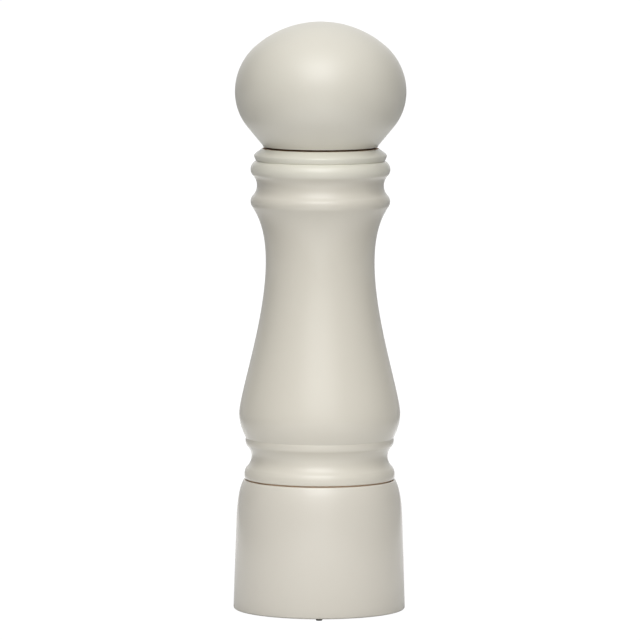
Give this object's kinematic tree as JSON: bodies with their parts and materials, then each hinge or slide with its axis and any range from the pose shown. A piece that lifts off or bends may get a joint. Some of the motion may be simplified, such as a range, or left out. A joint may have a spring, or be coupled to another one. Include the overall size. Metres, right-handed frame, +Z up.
{
  "type": "pepper mill",
  "caption": "Turned wooden top-turn mill for salt or pepper: ball head, beaded body and flared base round a ceramic grinder, with the grind set by turning the base.",
  "frame": {"origin": "on the table plane under the mill's axis, at the centre of its three feet", "axes": "+Z up along the mill's axis, -Y towards the viewer, with one foot at -Y"},
  "size_m": [0.059, 0.059, 0.2025],
  "materials": {
    "lacquered_wood": "satin off-white lacquer over turned wood",
    "nylon": "moulded black nylon",
    "steel": "bright drawn and stamped steel",
    "fibre": "waxed brown fibre",
    "bronze": "sintered bronze",
    "ceramic": "matt fired white ceramic",
    "rubber": "matt black rubber"
  },
  "bodies": {
    "body": {"body": "lacquered_wood", "head_slip_washer": "fibre", "feed_guide": "nylon", "shaft_bush": "bronze", "grinder_housing": "nylon", "housing_screws": "steel", "carrier_spring": "steel"},
    "base": {"base": "lacquered_wood", "base_slip_washer": "fibre", "cam_ring": "nylon", "cam_screws": "steel", "rubber_feet": "rubber"},
    "drive": {"drive_shaft": "steel", "thrust_washers": "steel", "shaft_clips": "steel", "rotor": "ceramic", "rotor_washer": "steel", "rotor_screw": "steel"},
    "head": {"head": "lacquered_wood", "drive_socket": "nylon", "socket_screws": "steel", "grip_ring": "steel"},
    "carriage": {"stator": "ceramic", "stator_carrier": "nylon", "stator_clip": "steel"}
  },
  "joints": [
    {"name": "head_turn", "type": "hinge", "parent": "body", "child": "drive", "pos_m": [0, 0, 0], "axis": [0, 0, 1], "continuous": true},
    {"name": "head_lift", "type": "slide", "parent": "drive", "child": "head", "axis": [0, 0, 1], "range_m": [0, 0.06]},
    {"name": "grind_select", "type": "hinge", "parent": "body", "child": "base", "pos_m": [0, 0, 0], "axis": [0, 0, 1], "range_deg": [0, 100]},
    {"name": "stator_slide", "type": "slide", "parent": "body", "child": "carriage", "axis": [0, 0, 1], "range_m": [0, 0.00181], "deforming": ["carrier_spring"]}
  ],
  "couplings": [
    {"joint": "stator_slide", "follows": "grind_select", "m_per_rad": 0.0010313}
  ]
}
